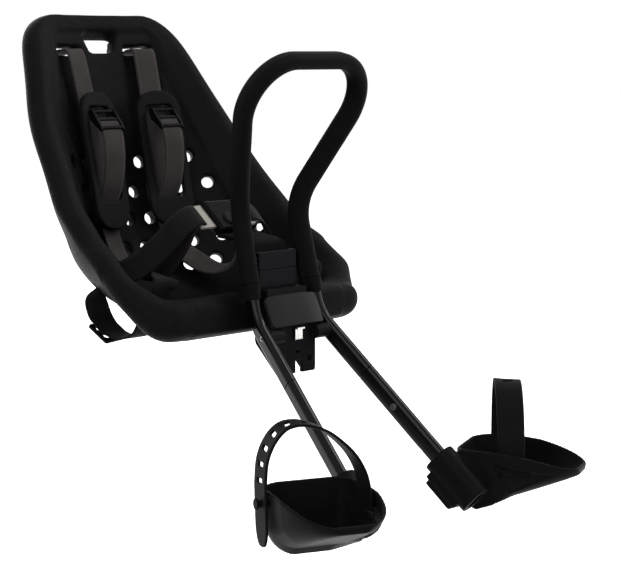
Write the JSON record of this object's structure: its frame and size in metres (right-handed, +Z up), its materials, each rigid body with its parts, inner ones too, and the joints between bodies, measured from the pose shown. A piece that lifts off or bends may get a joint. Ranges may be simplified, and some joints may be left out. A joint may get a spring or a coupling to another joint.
{
  "type": "front-mounted child bicycle seat",
  "caption": "Front-mounted child bicycle seat with a foam bucket shell, padded handle loop, harness, stem socket block and sliding footrests.",
  "frame": {"origin": "centre of the mouth of the stem socket, on the slanted underside of the mounting block", "axes": "+Z up, the seat faces -Y, +X is the child's left"},
  "size_m": [0.3852, 0.5373, 0.469],
  "materials": {
    "shell_foam": "satin moulded foam skin",
    "grip_rubber": "soft matte foam",
    "frame_paint": "semi-gloss black",
    "leg_paint": "semi-gloss black",
    "plate_plastic": "satin dark grey",
    "block_plastic": "satin black",
    "anchor_plastic": "satin black",
    "footrest_plastic": "fine grained black",
    "latch_plastic": "fine grained black",
    "strap_rubber": "matte black",
    "webbing": "woven warm dark grey",
    "pad_rubber": "matte black",
    "buckle_plastic": "glossy black",
    "tongue_plastic": "light warm grey",
    "button_plastic": "satin mid grey",
    "steel": "plain zinc plated",
    "bright_steel": "bright"
  },
  "bodies": {
    "seat": {"anchor_cap": "anchor_plastic", "anchor_pin": "steel", "bridge_plate": "plate_plastic", "buckle_body": "buckle_plastic", "buckle_tongue_left": "tongue_plastic", "buckle_tongue_right": "tongue_plastic", "clamp_bolts": "steel", "collar_left": "grip_rubber", "collar_right": "grip_rubber", "crotch_strap": "webbing", "frame_bolts": "steel", "frame_tube": "frame_paint", "handle_grip": "grip_rubber", "lap_strap_left": "webbing", "lap_strap_right": "webbing", "leg_screw_left": "steel", "leg_screw_right": "steel", "lower_leg_left": "leg_paint", "lower_leg_right": "leg_paint", "mounting_block": "block_plastic", "seat_shell": "shell_foam", "shell_bolts": "steel", "shell_insert": "steel", "shoulder_pad_left": "pad_rubber", "shoulder_pad_right": "pad_rubber", "shoulder_strap_left": "webbing", "shoulder_strap_right": "webbing", "strap_adjuster_left": "buckle_plastic", "strap_adjuster_right": "buckle_plastic", "strap_anchor": "anchor_plastic", "strap_slider_left": "buckle_plastic", "strap_slider_right": "buckle_plastic"},
    "release_button": {"buckle_button": "button_plastic"},
    "stem_catch": {"latch_catch": "bright_steel"},
    "footrest_left": {"footrest_left": "footrest_plastic", "foot_strap_left": "strap_rubber", "foot_stud_left": "strap_rubber"},
    "footrest_latch_left": {"footrest_latch_left": "latch_plastic"},
    "footrest_right": {"footrest_right": "footrest_plastic", "foot_strap_right": "strap_rubber", "foot_stud_right": "strap_rubber"},
    "footrest_latch_right": {"footrest_latch_right": "latch_plastic"}
  },
  "joints": [
    {"name": "catch_pull", "type": "slide", "parent": "seat", "child": "stem_catch", "axis": [0, -1, 0], "range_m": [0, 0.004], "stiffness_N_per_m": 600, "springref_m": -0.002},
    {"name": "button_press", "type": "slide", "parent": "seat", "child": "release_button", "axis": [0, 0.6428, -0.766], "range_m": [0, 0.003], "stiffness_N_per_m": 800, "springref_m": -0.002},
    {"name": "footrest_left_slide", "type": "slide", "parent": "seat", "child": "footrest_left", "axis": [-0.1358, 0.7227, 0.6778], "range_m": [0, 0.045]},
    {"name": "footrest_latch_left_pull", "type": "slide", "parent": "footrest_left", "child": "footrest_latch_left", "axis": [-0.2739, 0.63, -0.7266], "range_m": [0, 0.005], "stiffness_N_per_m": 500, "springref_m": -0.002},
    {"name": "footrest_right_slide", "type": "slide", "parent": "seat", "child": "footrest_right", "axis": [0.1358, 0.7227, 0.6778], "range_m": [0, 0.045]},
    {"name": "footrest_latch_right_pull", "type": "slide", "parent": "footrest_right", "child": "footrest_latch_right", "axis": [0.2739, 0.63, -0.7266], "range_m": [0, 0.005], "stiffness_N_per_m": 500, "springref_m": -0.002}
  ]
}
